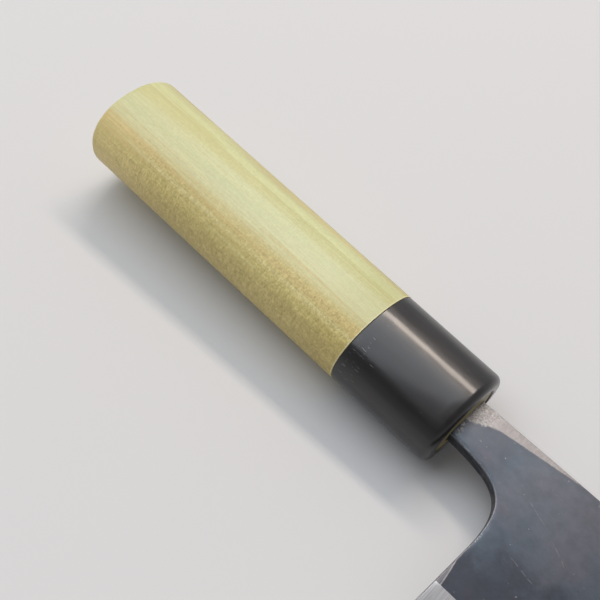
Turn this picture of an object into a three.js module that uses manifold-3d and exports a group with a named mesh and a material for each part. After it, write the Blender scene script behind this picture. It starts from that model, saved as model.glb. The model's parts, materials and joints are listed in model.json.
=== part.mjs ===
// Nakiri knife: a three-ply forged blade whose tang sits in an oval wooden grip with a horn ferrule.
// Millimetres. The knife is drawn in its own frame, then laid on its left side as it lies on a table.
// Knife frame: +x from the butt to the tip, +y from the edge to the spine, +z out of the right face.
// Its origin is on the grip's axis, at the ferrule's front face.
import * as THREE from "three";
import { ConvexGeometry } from "three/addons/geometries/ConvexGeometry.js";
import { mergeVertices } from "three/addons/utils/BufferGeometryUtils.js";
import Module from "manifold-3d";

// Grip and ferrule, one oval that swells towards the butt
const FERRULE_LENGTH = 28.7;
const GRIP_LENGTH = 87.7; // bare wood between the ferrule and the butt
const FRONT_WIDTH = 27; // across the oval, from edge side to spine side
const FRONT_THICKNESS = 20.1;
const BUTT_WIDTH = 28.2;
const BUTT_THICKNESS = 23;
const OVAL_POWER = 2.16; // 2 is an ellipse, more is squarer
const FERRULE_ROUND = 2; // radius round the ferrule's front face
const BUTT_ROUND = 2.1;

// Tenon on the grip, glued into the ferrule's bore
const TENON_WIDTH = 19.1;
const TENON_THICKNESS = 15;
const TENON_RECESS = 0.3; // its end stands this far behind the ferrule's front face
const GLUE_LINE = 0.1;

// Blade, drawn level and then pitched against the grip's axis
const BLADE_PITCH = 1.43; // degrees that the spine rises towards the tip
const SPINE_RISE = 6.3; // spine above the grip's axis
const BLADE_HEIGHT = 51.5; // spine to cutting edge
const BEVEL_HEIGHT = 12.35; // ground bevel, from the cutting edge up
const EDGE_LENGTH = 165;
const BELLY_LENGTH = 70; // front stretch of the edge that curves up
const BELLY_RISE = 1.8;
const TIP_ROUND = 13; // radius between the spine and the square tip
const SPINE_EASE = 0.2; // broken corners along the spine

// Neck and choil, the hollow between the ferrule and the heel
const HEEL_GAP = 16.9; // ferrule to the corner of the heel
const HEEL_LEAN = 3; // degrees that the heel leans forward above its corner
const NECK_DROP = 5.7; // lower side of the neck below the grip's axis
const NECK_FLARE = 3.5; // degrees that the neck widens towards the blade
const CHOIL_DROP = 17.5; // height of the choil's curve
const CHOIL_NECK_PULL = 14.5; // how far the curve follows the neck
const CHOIL_HEEL_PULL = 15.1; // how far the curve follows the heel

// Thicknesses, both sides together
const SPINE_AT_FERRULE = 3.7;
const SPINE_AT_TIP = 2.4;
const FACE_TAPER = 1.3; // lost between the spine and the top of the bevel
const EDGE_THICKNESS = 0.24;
const CORE_AT_FERRULE = 0.9; // hard steel between two iron claddings
const CORE_AT_TIP = 0.5;
const WELD_LINE = 0.02;

// Ground facets beside the spine, next to the ferrule
const FACET_LENGTH = 29;
const FACET_HEIGHT = 4.15; // at the ferrule's front
const FACET_DEPTH = 0.15;

// Tang and the slot it is burnt into
const TANG_LENGTH = 84; // behind the ferrule's front face
const TANG_END_HEIGHT = 5;
const TANG_END_THICKNESS = 2.6;
const TANG_CLEARANCE = 0.4;
const TANG_END_GAP = 4; // slot beyond the tang's end

// Fineness of the faceted surfaces
const OVAL_POINTS = 72;
const ROUND_STEPS = 5;
const BLADE_STATIONS = 14;
const CURVE_STEPS = 10;
const OVERCUT = 5; // cutters reach this far past what they cut

const HANDLE_LENGTH = FERRULE_LENGTH + GRIP_LENGTH;
const EDGE_Y = SPINE_RISE - BLADE_HEIGHT;
const BEVEL_TOP_Y = EDGE_Y + BEVEL_HEIGHT;
const TIP_X = HEEL_GAP + EDGE_LENGTH;
const PITCH = THREE.MathUtils.degToRad(BLADE_PITCH);

const wasm = await Module();
wasm.setup();

// Closed geometry as a solid that can be cut.
function solidOf(geometry) {
  const bare = geometry.clone();
  bare.deleteAttribute("normal");
  bare.deleteAttribute("uv");
  const merged = mergeVertices(bare);
  const mesh = new wasm.Mesh({
    numProp: 3,
    vertProperties: merged.attributes.position.array,
    triVerts: new Uint32Array(merged.index.array),
  });
  return new wasm.Manifold(mesh);
}

// A cut solid as geometry again.
function geometryOf(solid) {
  const mesh = solid.getMesh();
  const geometry = new THREE.BufferGeometry();
  geometry.setAttribute("position", new THREE.BufferAttribute(mesh.vertProperties, 3));
  geometry.setIndex(new THREE.BufferAttribute(mesh.triVerts, 1));
  geometry.computeVertexNormals();
  return geometry;
}

// Skin through rings of equally many points, turning from +y to +z and advancing along the body.
// A body with a bore joins its last ring to its first, and any other body is capped at both ends.
function loft(rings, bored = false) {
  const count = rings[0].length;
  const points = rings.flat();
  const triangles = [];
  const spans = bored ? rings.length : rings.length - 1;
  for (let i = 0; i < spans; i++) {
    const here = i * count;
    const there = ((i + 1) % rings.length) * count;
    for (let j = 0; j < count; j++) {
      const k = (j + 1) % count;
      triangles.push(here + j, here + k, there + k, here + j, there + k, there + j);
    }
  }
  if (!bored) {
    const last = (rings.length - 1) * count;
    for (let j = 1; j < count - 1; j++) {
      triangles.push(0, j + 1, j, last, last + j, last + j + 1);
    }
  }
  const geometry = new THREE.BufferGeometry().setFromPoints(points);
  geometry.setIndex(triangles);
  geometry.computeVertexNormals();
  return geometry;
}

function mix(a, b, share) {
  return a + (b - a) * share;
}

// Half width and half thickness of the handle's oval at a place on its axis.
function handleOval(x) {
  const share = -x / HANDLE_LENGTH;
  return {
    width: mix(FRONT_WIDTH, BUTT_WIDTH, share) / 2,
    thickness: mix(FRONT_THICKNESS, BUTT_THICKNESS, share) / 2,
  };
}

function ovalRing(x, halfWidth, halfThickness) {
  const rounded = (value) => Math.sign(value) * Math.abs(value) ** (2 / OVAL_POWER);
  return Array.from({ length: OVAL_POINTS }, (_, i) => {
    const turn = (2 * Math.PI * i) / OVAL_POINTS;
    const y = halfWidth * rounded(Math.cos(turn));
    const z = halfThickness * rounded(Math.sin(turn));
    return new THREE.Vector3(x, y, z);
  });
}

function handleRing(x, inset = 0) {
  const { width, thickness } = handleOval(x);
  return ovalRing(x, width - inset, thickness - inset);
}

function tenonRing(x, allowance = 0) {
  return ovalRing(x, TENON_WIDTH / 2 + allowance, TENON_THICKNESS / 2 + allowance);
}

function boxRing(x, lowY, highY, lowZ, highZ) {
  const corners = [
    [highY, highZ],
    [lowY, highZ],
    [lowY, lowZ],
    [highY, lowZ],
  ];
  return corners.map(([y, z]) => new THREE.Vector3(x, y, z));
}

// Rings round an end face: direction is +1 where the body grows along +x, and -1 where it ends.
function roundedEnd(endX, radius, direction) {
  const rings = [];
  for (let i = 0; i <= ROUND_STEPS; i++) {
    const turn = (Math.PI / 2) * (i / ROUND_STEPS);
    const x = endX + direction * radius * (1 - Math.cos(turn));
    rings.push(handleRing(x, radius * (1 - Math.sin(turn))));
  }
  return direction > 0 ? rings : rings.reverse();
}

// Slot in the grip, as the tang burns it: the tang's own taper with a clearance all round.
function tangSlot() {
  const ring = (x, bottom, top, thickness) => {
    const side = thickness / 2 + TANG_CLEARANCE;
    return boxRing(x, bottom - TANG_CLEARANCE, top + TANG_CLEARANCE, -side, side);
  };
  const end = [-TANG_END_HEIGHT / 2, TANG_END_HEIGHT / 2, TANG_END_THICKNESS];
  const mouth = [-NECK_DROP, SPINE_RISE, SPINE_AT_FERRULE];
  return loft([
    ring(-TANG_LENGTH - TANG_END_GAP, ...end),
    ring(-TANG_LENGTH, ...end),
    ring(0, ...mouth),
    ring(OVERCUT, ...mouth),
  ]).rotateZ(PITCH);
}

// Oval wooden grip with its tenon, slotted for the tang.
function gripGeometry() {
  const body = loft([
    ...roundedEnd(-HANDLE_LENGTH, BUTT_ROUND, 1),
    handleRing(-FERRULE_LENGTH),
    tenonRing(-FERRULE_LENGTH),
    tenonRing(-TENON_RECESS),
  ]);
  return geometryOf(solidOf(body).subtract(solidOf(tangSlot())));
}

// Horn ferrule, bored for the tenon and flush with the grip behind it.
function ferruleGeometry() {
  const back = -FERRULE_LENGTH + GLUE_LINE;
  return loft(
    [
      handleRing(back),
      ...roundedEnd(0, FERRULE_ROUND, -1),
      tenonRing(0, GLUE_LINE),
      tenonRing(back, GLUE_LINE),
    ],
    true,
  );
}

// The cutting edge is straight from the heel and curves up towards the tip.
function edgeY(x) {
  const share = Math.max(0, (x - TIP_X + BELLY_LENGTH) / BELLY_LENGTH);
  return EDGE_Y + BELLY_RISE * share ** 2;
}

// Half the blade's thickness at the spine, ahead of the ferrule.
function spineHalf(x) {
  return mix(SPINE_AT_FERRULE, SPINE_AT_TIP, x / TIP_X) / 2;
}

// Half the thickness on the flat face between the spine and the bevel, which is one plane on each side.
function faceHalf(x, y) {
  return spineHalf(x) - ((FACE_TAPER / 2) * (SPINE_RISE - y)) / (SPINE_RISE - BEVEL_TOP_Y);
}

// Half the core's thickness. It is drawn out with the blade, so it thins towards the tip.
function coreHalf(x) {
  return mix(CORE_AT_FERRULE, CORE_AT_TIP, Math.max(0, x) / TIP_X) / 2;
}

// Cross-section of the blank: eased spine, two flat faces, two bevels and the cutting edge.
function bladeRing(x) {
  const bevelTop = BEVEL_TOP_Y + edgeY(x) - EDGE_Y;
  const rightSide = [
    [SPINE_RISE, spineHalf(x) - SPINE_EASE],
    [SPINE_RISE - SPINE_EASE, faceHalf(x, SPINE_RISE - SPINE_EASE)],
    [bevelTop, faceHalf(x, bevelTop)],
    [edgeY(x), EDGE_THICKNESS / 2],
  ];
  const leftSide = rightSide.map(([y, z]) => [y, -z]).reverse();
  return [...rightSide, ...leftSide].map(([y, z]) => new THREE.Vector3(x, y, z));
}

// The tang's blank has parallel sides and thins towards its end.
function tangRing(x, template) {
  return template.map(({ y, z }) => {
    const side = Math.sign(z) * (TANG_END_THICKNESS / 2);
    return new THREE.Vector3(x, y, side);
  });
}

function bladeBlank() {
  const first = bladeRing(0);
  const rings = [tangRing(-TANG_LENGTH, first), first];
  for (let i = 1; i <= BLADE_STATIONS; i++) {
    rings.push(bladeRing((TIP_X * i) / BLADE_STATIONS));
  }
  return loft(rings);
}

// Side view of the blade with its tang. It runs past the edge, which the blank's own bevels make.
function bladeOutline() {
  const below = EDGE_Y - OVERCUT;
  const lean = Math.tan(THREE.MathUtils.degToRad(HEEL_LEAN));
  const flare = Math.tan(THREE.MathUtils.degToRad(NECK_FLARE));
  const choilY = -NECK_DROP - CHOIL_DROP;
  const heelX = (y) => HEEL_GAP + lean * (y - EDGE_Y);
  const outline = new THREE.Shape();
  outline.moveTo(-TANG_LENGTH, -TANG_END_HEIGHT / 2);
  outline.lineTo(0, -NECK_DROP);
  outline.bezierCurveTo(
    CHOIL_NECK_PULL,
    -NECK_DROP - flare * CHOIL_NECK_PULL,
    heelX(choilY + CHOIL_HEEL_PULL),
    choilY + CHOIL_HEEL_PULL,
    heelX(choilY),
    choilY,
  );
  outline.lineTo(heelX(below), below);
  outline.lineTo(TIP_X, below);
  outline.lineTo(TIP_X, SPINE_RISE - TIP_ROUND);
  outline.absarc(TIP_X - TIP_ROUND, SPINE_RISE - TIP_ROUND, TIP_ROUND, 0, Math.PI / 2);
  outline.lineTo(0, SPINE_RISE);
  outline.lineTo(-TANG_LENGTH, TANG_END_HEIGHT / 2);
  return outline;
}

// Wedge that grinds a shallow facet beside the spine; side is +1 on the right face, -1 on the left.
function facetCutter(side) {
  const behind = -OVERCUT; // the facet runs on into the slot
  const height = (FACET_HEIGHT * (FACET_LENGTH - behind)) / FACET_LENGTH;
  const depth = (FACET_DEPTH * (FACET_LENGTH - behind)) / FACET_LENGTH;
  const low = [behind, SPINE_RISE - height, faceHalf(behind, SPINE_RISE - height)];
  const high = [behind, SPINE_RISE, spineHalf(behind) - depth];
  const front = [FACET_LENGTH, SPINE_RISE, spineHalf(FACET_LENGTH)];
  const corners = [low, high, front].flatMap(([x, y, z]) => [
    new THREE.Vector3(x, y, side * z),
    new THREE.Vector3(x, y, side * (z + OVERCUT)),
  ]);
  const past = [high, front].flatMap(([x, y, z]) => [
    new THREE.Vector3(x, y + OVERCUT, side * (z - (OVERCUT * depth) / height)),
    new THREE.Vector3(x, y + OVERCUT, side * (z + OVERCUT)),
  ]);
  return new ConvexGeometry([...corners, ...past]);
}

// Layer of the blade between two surfaces, each given by its height over the middle plane along x.
function layer(lowAt, highAt) {
  const low = EDGE_Y - OVERCUT;
  const high = SPINE_RISE + OVERCUT;
  const places = [-TANG_LENGTH - OVERCUT, 0, TIP_X + OVERCUT];
  return solidOf(loft(places.map((x) => boxRing(x, low, high, lowAt(x), highAt(x)))));
}

// Three plies, forge-welded: iron cladding on each side of a hard steel core that forms the edge.
function bladePlies() {
  const reach = SPINE_AT_FERRULE;
  const profile = new THREE.ExtrudeGeometry(bladeOutline(), {
    depth: 2 * reach,
    bevelEnabled: false,
    curveSegments: CURVE_STEPS,
  }).translate(0, 0, -reach);
  const blade = solidOf(bladeBlank())
    .intersect(solidOf(profile))
    .subtract(solidOf(facetCutter(1)))
    .subtract(solidOf(facetCutter(-1)));
  const weld = (x) => coreHalf(x) + WELD_LINE;
  const right = layer(weld, () => reach);
  const middle = layer((x) => -coreHalf(x), coreHalf);
  const left = layer(() => -reach, (x) => -weld(x));
  return {
    right_cladding: geometryOf(blade.intersect(right)),
    core_steel: geometryOf(blade.intersect(middle)),
    left_cladding: geometryOf(blade.intersect(left)),
  };
}

const FORGE_SCALE = new THREE.MeshStandardMaterial({ color: 0x4a4d52, roughness: 0.5, metalness: 0.7 });
const BRIGHT_STEEL = new THREE.MeshStandardMaterial({ color: 0xb9b8b6, roughness: 0.35, metalness: 1 });
const PALE_WOOD = new THREE.MeshStandardMaterial({ color: 0xcfc48c, roughness: 0.6, metalness: 0 });
const BLACK_HORN = new THREE.MeshStandardMaterial({ color: 0x121214, roughness: 0.2, metalness: 0 });

function named(name, geometry, material) {
  const mesh = new THREE.Mesh(geometry, material);
  mesh.name = name;
  return mesh;
}

const plies = bladePlies();
const blade = new THREE.Group();
blade.add(
  named("right_cladding", plies.right_cladding, FORGE_SCALE),
  named("core_steel", plies.core_steel, BRIGHT_STEEL),
  named("left_cladding", plies.left_cladding, FORGE_SCALE),
);
blade.rotation.z = PITCH;

const handle = new THREE.Group();
handle.add(
  named("grip", gripGeometry(), PALE_WOOD),
  named("ferrule", ferruleGeometry(), BLACK_HORN),
);

const knife = new THREE.Group();
knife.add(blade, handle);

// The knife lies on the ferrule's underside and on the front corner of the blade's left face,
// which meets the table along the square tip.
function layDown(group) {
  const underside = handleOval(-FERRULE_ROUND).thickness;
  const ferruleRest = new THREE.Vector3(-FERRULE_ROUND, 0, -underside);
  const tipCorner = (y) => {
    const corner = new THREE.Vector3(TIP_X, y, -faceHalf(TIP_X, y));
    return corner.applyAxisAngle(new THREE.Vector3(0, 0, 1), PITCH);
  };
  const lowCorner = tipCorner(BEVEL_TOP_Y + BELLY_RISE);
  const highCorner = tipCorner(SPINE_RISE - TIP_ROUND);
  const up = new THREE.Vector3()
    .subVectors(lowCorner, ferruleRest)
    .cross(new THREE.Vector3().subVectors(highCorner, ferruleRest))
    .normalize();
  group.quaternion.setFromUnitVectors(up, new THREE.Vector3(0, 0, 1));
}

// Origin on the table, under the middle of the knife.
function centreOnTable(group) {
  const box = new THREE.Box3().setFromObject(group, true);
  const middle = box.getCenter(new THREE.Vector3());
  group.position.set(-middle.x, -middle.y, -box.min.z);
}

layDown(knife);
centreOnTable(knife);

const nakiri = new THREE.Group();
nakiri.add(knife);

export default nakiri;
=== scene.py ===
"""Looks of a nakiri knife: forged three-ply blade, oval wooden grip and horn ferrule, on a pale floor.

Shapes are drawn in millimetres in two frames. The knife frame has +x from butt to tip, +y from edge to
spine and +z out of the right face, with its origin on the grip's axis at the ferrule's front. The blade
frame is the same, turned by the blade's pitch. Patterns are laid out in the same frames and millimetres.
"""

import json
import math

import bpy
import numpy as np
from mathutils import Matrix, Vector
from mathutils.geometry import delaunay_2d_cdt
from mathutils.noise import noise as any_noise


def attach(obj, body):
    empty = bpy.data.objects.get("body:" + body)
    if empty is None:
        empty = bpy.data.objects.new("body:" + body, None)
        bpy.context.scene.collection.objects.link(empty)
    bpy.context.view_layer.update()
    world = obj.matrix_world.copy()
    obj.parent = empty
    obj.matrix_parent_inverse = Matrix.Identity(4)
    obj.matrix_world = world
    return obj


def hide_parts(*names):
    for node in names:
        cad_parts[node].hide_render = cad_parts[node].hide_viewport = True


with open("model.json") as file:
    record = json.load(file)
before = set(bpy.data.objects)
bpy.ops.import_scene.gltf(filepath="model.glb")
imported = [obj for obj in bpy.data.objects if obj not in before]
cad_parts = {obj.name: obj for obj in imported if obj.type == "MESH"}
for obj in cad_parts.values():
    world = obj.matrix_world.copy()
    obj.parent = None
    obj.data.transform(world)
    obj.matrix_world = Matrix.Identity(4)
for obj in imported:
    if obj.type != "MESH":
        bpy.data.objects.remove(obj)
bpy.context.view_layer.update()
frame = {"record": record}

MM = 0.001

# Handle, as in the part's source
FERRULE_LENGTH = 28.7
HANDLE_LENGTH = FERRULE_LENGTH + 87.7
FRONT_WIDTH = 27.0
FRONT_THICKNESS = 20.1
BUTT_WIDTH = 28.2
BUTT_THICKNESS = 23.0
OVAL_POWER = 2.16
FERRULE_ROUND = 2.0
BUTT_ROUND = 2.1
TENON_WIDTH = 19.1
TENON_THICKNESS = 15.0
TENON_RECESS = 0.3
GLUE_LINE = 0.1

# Blade, as in the part's source
BLADE_PITCH = math.radians(1.43)
SPINE_RISE = 6.3
BLADE_HEIGHT = 51.5
BEVEL_HEIGHT = 12.35
EDGE_LENGTH = 165.0
BELLY_LENGTH = 70.0
BELLY_RISE = 1.8
TIP_ROUND = 13.0
HEEL_GAP = 16.9
HEEL_LEAN = math.tan(math.radians(3))
NECK_DROP = 5.7
NECK_FLARE = math.tan(math.radians(3.5))
CHOIL_DROP = 17.5
CHOIL_NECK_PULL = 14.5
CHOIL_HEEL_PULL = 15.1
SPINE_AT_FERRULE = 3.7
SPINE_AT_TIP = 2.4
FACE_TAPER = 1.3
EDGE_THICKNESS = 0.24
CORE_AT_FERRULE = 0.9
CORE_AT_TIP = 0.5
WELD_LINE = 0.02
FACET_LENGTH = 29.0
FACET_HEIGHT = 4.15
FACET_DEPTH = 0.15
TANG_LENGTH = 84.0
TANG_END_HEIGHT = 5.0
TANG_END_THICKNESS = 2.6
TANG_CLEARANCE = 0.4
TANG_END_GAP = 4.0
EDGE_Y = SPINE_RISE - BLADE_HEIGHT
BEVEL_TOP_Y = EDGE_Y + BEVEL_HEIGHT
CHOIL_Y = -NECK_DROP - CHOIL_DROP
TIP_X = HEEL_GAP + EDGE_LENGTH

# Finer forms that only the visible surface has
SEAM_ROUND = 0.1  # broken edges where the wood meets the horn
HORN_SHRINK = 0.08  # the horn has shrunk a little below the wood
BORE_ROUND = 0.25
BUTT_DOME = 0.12
TENON_CROWN = 0.2  # rise of the tenon's end from its rim to the slot
SLOT_POWER = 12.0  # superellipse power of the slot's nearly square corners
SLOT_SHARES = (0.25, 0.6, 1.0)  # of the tang's length, where the slot has rings
SPINE_EASE = 0.14  # radius of the blade's broken edges along the spine
CHOIL_EASE = 0.32  # and where the fingers go, from the neck down to the heel
HAND_REACH = 1.0  # how far past the heel the softer edge reaches
EASE_SHARE = 0.6  # of a ply's thickness that a broken edge takes at most
FORGED_WAVE = 0.05  # depth of the hammered unevenness of the flats
FORGED_FADE = 6.0  # height above the bevel where it fades out
WELD_WAVE = 0.035  # waviness of the core's faces, which shows as a wavy line on the bevel
HEEL_CHAMFER = 1.35  # hand-ground chamfer on the heel, at its widest
HEEL_CHAMFER_TOP = -26.4
HEEL_CHAMFER_SLOPE = 0.05
HEEL_CHAMFER_POWER = 0.7  # below 1 the ridge leaves the heel fast and then runs along it
THIN = 0.01  # least thickness where a ply runs out

# Fineness of the meshes
OVAL_POINTS = 144
ROUND_STEPS = 8
BODY_STEP = 2.0
NEAR_STEP = 0.8  # grid on the blade's heel, which the camera is close to
FAR_STEP = 1.6
TANG_STEP = 4.0
NEAR_REACH = 46.0
RIM_OFFSETS = (0.04, 0.1, 0.18, 0.28)
NECK_BACK = -2.0  # where the fine grid ends behind the ferrule's front
RIDGE_GAP = 0.3  # how far each crease stops short of the outline
WELD_GAP = 0.8
FACET_GAPS = (0.2, 2.0)
CHAMFER_GAPS = (0.2, 1.5)
CHAMFER_POINTS = 20
SHARP_ANGLE = math.radians(40)  # between faces that are not shaded as one smooth surface


def mix(a, b, share):
    return a + (b - a) * share


def noise(x, y, z):
    """Smooth noise from -1 to 1."""
    return any_noise(Vector((x, y, z)), noise_basis="PERLIN_NEW")


def ramp_share(value, start, end):
    """0 at start, 1 at end, smooth between them."""
    share = min(1.0, max(0.0, (value - start) / (end - start)))
    return share * share * (3 - 2 * share)


# Handle shapes, in the knife frame


def handle_half(x):
    """Half width and half thickness of the handle's oval."""
    share = -x / HANDLE_LENGTH
    width = mix(FRONT_WIDTH, BUTT_WIDTH, share)
    thickness = mix(FRONT_THICKNESS, BUTT_THICKNESS, share)
    return width / 2, thickness / 2


def oval_ring(x, half_width, half_thickness, power=OVAL_POWER, middle_y=0.0):
    def stretch(value):
        return math.copysign(abs(value) ** (2 / power), value)

    turns = [math.tau * i / OVAL_POINTS for i in range(OVAL_POINTS)]
    return [
        Vector((x, middle_y + half_width * stretch(math.cos(t)), half_thickness * stretch(math.sin(t))))
        for t in turns
    ]


def handle_ring(x, inset=0.0):
    width, thickness = handle_half(x)
    return oval_ring(x, width - inset, thickness - inset)


def tenon_ring(x, allowance=0.0):
    return oval_ring(x, TENON_WIDTH / 2 + allowance, TENON_THICKNESS / 2 + allowance)


def quarter_round(end_x, radius, inward, inset=0.0):
    """Rings of a rounded end, from the end face to the side; inward is the sign of x into the body."""
    rings = []
    for i in range(ROUND_STEPS + 1):
        turn = math.pi / 2 * i / ROUND_STEPS
        x = end_x + inward * radius * (1 - math.cos(turn))
        rings.append(handle_ring(x, inset + radius * (1 - math.sin(turn))))
    return rings


def straight_rings(start_x, end_x, inset=0.0):
    """Rings of the plain oval between two places, without the ends."""
    count = math.ceil(abs(end_x - start_x) / BODY_STEP)
    return [handle_ring(mix(start_x, end_x, i / count), inset) for i in range(1, count)]


def butt_rings():
    """Slightly domed end face, from its middle to the start of the butt's round."""
    width, thickness = handle_half(-HANDLE_LENGTH)
    rings = [[Vector((-HANDLE_LENGTH, 0, 0))]]
    for share in (0.2, 0.4, 0.6, 0.8, 0.95):
        sink = BUTT_DOME * share**2
        half_width = (width - BUTT_ROUND) * share
        half_thickness = (thickness - BUTT_ROUND) * share
        rings.append(oval_ring(-HANDLE_LENGTH + sink, half_width, half_thickness))
    return rings


def slot_ring(x):
    """The slot that the tang is burnt into, which follows the tang's taper and pitch."""
    share = min(1.0, max(0.0, -x / TANG_LENGTH))
    top = mix(SPINE_RISE, TANG_END_HEIGHT / 2, share) + TANG_CLEARANCE
    bottom = mix(-NECK_DROP, -TANG_END_HEIGHT / 2, share) - TANG_CLEARANCE
    side = mix(SPINE_AT_FERRULE, TANG_END_THICKNESS, share) / 2 + TANG_CLEARANCE
    middle = (top + bottom) / 2 + x * math.tan(BLADE_PITCH)
    return oval_ring(x, (top - bottom) / 2, side, SLOT_POWER, middle)


def skin(rings, bored=False):
    """Points, faces and each face's span between rings. A ring of one point closes an end."""
    points = [p for ring in rings for p in ring]
    starts = [0]
    for ring in rings:
        starts.append(starts[-1] + len(ring))
    faces = []
    spans = []
    count = len(rings) if bored else len(rings) - 1
    for i in range(count):
        j = (i + 1) % len(rings)
        here, there = starts[i], starts[j]
        for k in range(OVAL_POINTS):
            m = (k + 1) % OVAL_POINTS
            if len(rings[i]) == 1:
                faces.append((here, there + m, there + k))
            elif len(rings[j]) == 1:
                faces.append((here + k, here + m, there))
            else:
                faces.append((here + k, here + m, there + m, there + k))
            spans.append(i)
    return points, faces, spans


# Blade shapes, in the blade frame


def edge_y(x):
    """Height of the cutting edge, straight from the heel and curving up towards the tip."""
    share = max(0.0, (x - TIP_X + BELLY_LENGTH) / BELLY_LENGTH)
    return EDGE_Y + BELLY_RISE * share**2


def bevel_top_y(x):
    return BEVEL_TOP_Y + edge_y(x) - EDGE_Y


def spine_half(x):
    return mix(SPINE_AT_FERRULE, SPINE_AT_TIP, x / TIP_X) / 2


def flat_half(x, y):
    """Half thickness on the flat between spine and bevel."""
    return spine_half(x) - FACE_TAPER / 2 * (SPINE_RISE - y) / (SPINE_RISE - BEVEL_TOP_Y)


def bevel_half(x, y):
    """Half thickness on the bevel, which meets the flat at its top."""
    low, high = edge_y(x), bevel_top_y(x)
    return mix(EDGE_THICKNESS / 2, flat_half(x, high), (y - low) / (high - low))


def tang_half(x, y):
    return mix(flat_half(0, y), TANG_END_THICKNESS / 2, -x / TANG_LENGTH)


def facet_line_y(x):
    """Lower border of the ground facet beside the spine, which it meets at the facet's end."""
    return SPINE_RISE - FACET_HEIGHT * (FACET_LENGTH - x) / FACET_LENGTH


def facet_half(x, y):
    """Half thickness on the facet, a plane that runs out along the blade."""
    depth_per_height = FACET_DEPTH / FACET_HEIGHT
    return flat_half(x, y) - depth_per_height * (y - facet_line_y(x))


def core_half(x):
    """Half thickness of the core, with the waviness that forging gives it."""
    along = max(0.0, x)
    wave = noise(along * 0.11, 3.1, 0) + 0.5 * noise(along * 0.4, 8.3, 0)
    return mix(CORE_AT_FERRULE, CORE_AT_TIP, along / TIP_X) / 2 + WELD_WAVE * wave


def weld_y(x):
    """Where the cladding runs out on the bevel and the core comes to the surface."""
    low, high = edge_y(x), bevel_top_y(x)
    rise = flat_half(x, high) - EDGE_THICKNESS / 2
    return low + (high - low) * (core_half(x) + WELD_LINE + THIN - EDGE_THICKNESS / 2) / rise


def heel_x(y):
    return HEEL_GAP + HEEL_LEAN * (y - EDGE_Y)


def choil_point(share):
    """Cubic curve from the neck's underside to the heel."""
    corner_y = CHOIL_Y + CHOIL_HEEL_PULL
    places = (
        Vector((0, -NECK_DROP)),
        Vector((CHOIL_NECK_PULL, -NECK_DROP - NECK_FLARE * CHOIL_NECK_PULL)),
        Vector((heel_x(corner_y), corner_y)),
        Vector((heel_x(CHOIL_Y), CHOIL_Y)),
    )
    rest = 1 - share
    weights = (rest**3, 3 * rest**2 * share, 3 * rest * share**2, share**3)
    return sum((p * w for p, w in zip(places, weights)), Vector((0, 0)))


def stretch_points(start, end, step):
    """Points from start up to, but not including, end."""
    count = max(1, math.ceil((end - start).length / step))
    return [start.lerp(end, i / count) for i in range(count)]


def blade_outline(low_y):
    """Outline as a closed list of points, anticlockwise, and the number of those on its rounded edges.

    The lower side follows low_y(x) and comes last, because its edge is not rounded.
    """
    heel_low = Vector((heel_x(low_y(HEEL_GAP)), low_y(HEEL_GAP)))
    tip_low = Vector((TIP_X, low_y(TIP_X)))
    tip_high = Vector((TIP_X, SPINE_RISE - TIP_ROUND))
    spine_front = Vector((TIP_X - TIP_ROUND, SPINE_RISE))
    spine_back = Vector((0, SPINE_RISE))
    tang_high = Vector((-TANG_LENGTH, TANG_END_HEIGHT / 2))
    tang_low = Vector((-TANG_LENGTH, -TANG_END_HEIGHT / 2))
    arc_count = math.ceil(TIP_ROUND * math.pi / 2 / NEAR_STEP)
    choil_length = 1.3 * CHOIL_DROP
    choil_count = math.ceil(choil_length / (NEAR_STEP / 2))
    points = stretch_points(tip_low, tip_high, NEAR_STEP)
    for i in range(arc_count):
        turn = math.pi / 2 * i / arc_count
        points.append(spine_front + Vector((math.cos(turn), math.sin(turn) - 1)) * TIP_ROUND)
    points += stretch_points(spine_front, spine_back, NEAR_STEP)
    points += stretch_points(spine_back, tang_high, TANG_STEP)
    points += stretch_points(tang_high, tang_low, TANG_STEP)
    points += stretch_points(tang_low, Vector((0, -NECK_DROP)), TANG_STEP)
    points += [choil_point(i / choil_count) for i in range(choil_count)]
    points += stretch_points(choil_point(1), heel_low, NEAR_STEP / 2)
    rounded = len(points) + 1
    count = math.ceil((tip_low.x - heel_low.x) / NEAR_STEP)
    for i in range(count):
        x = mix(heel_low.x, tip_low.x, i / count)
        points.append(Vector((x, low_y(x))))
    return points, rounded


def distances(points, line):
    """Distance from each point to a polyline."""
    p = np.array([tuple(v) for v in points])[:, None, :]
    a = np.array([tuple(v) for v in line[:-1]])[None]
    d = np.array([tuple(v) for v in line[1:]])[None] - a
    share = np.clip(((p - a) * d).sum(-1) / (d * d).sum(-1), 0, 1)
    return np.sqrt((((a + share[..., None] * d) - p) ** 2).sum(-1)).min(1)


def inside(points, outline):
    """Whether each point lies inside a closed outline."""
    p = np.array([tuple(v) for v in points])
    a = np.array([tuple(v) for v in outline])
    b = np.roll(a, -1, 0)
    x, y = p[:, :1], p[:, 1:]
    crosses = (a[:, 1] > y) != (b[:, 1] > y)
    rise = np.where(a[:, 1] == b[:, 1], 1, b[:, 1] - a[:, 1])
    at = a[:, 0] + (y - a[:, 1]) * (b[:, 0] - a[:, 0]) / rise
    return (crosses & (x < at)).sum(1) % 2 == 1


def grid(low_x, high_x, low_y, high_y, step):
    columns = np.arange(low_x + step / 2, high_x, step)
    rows = np.arange(low_y + step / 2, high_y, step)
    return [Vector((x, y)) for x in columns for y in rows]


def rim_points(outline, rounded):
    """Points just inside the rounded edges, close enough together to carry the rounding."""
    points = []
    for i in range(1, rounded - 1):
        along = (outline[i + 1] - outline[i - 1]).normalized()
        inward = Vector((-along.y, along.x))
        points += [outline[i] + inward * offset for offset in RIM_OFFSETS]
    return points


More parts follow.
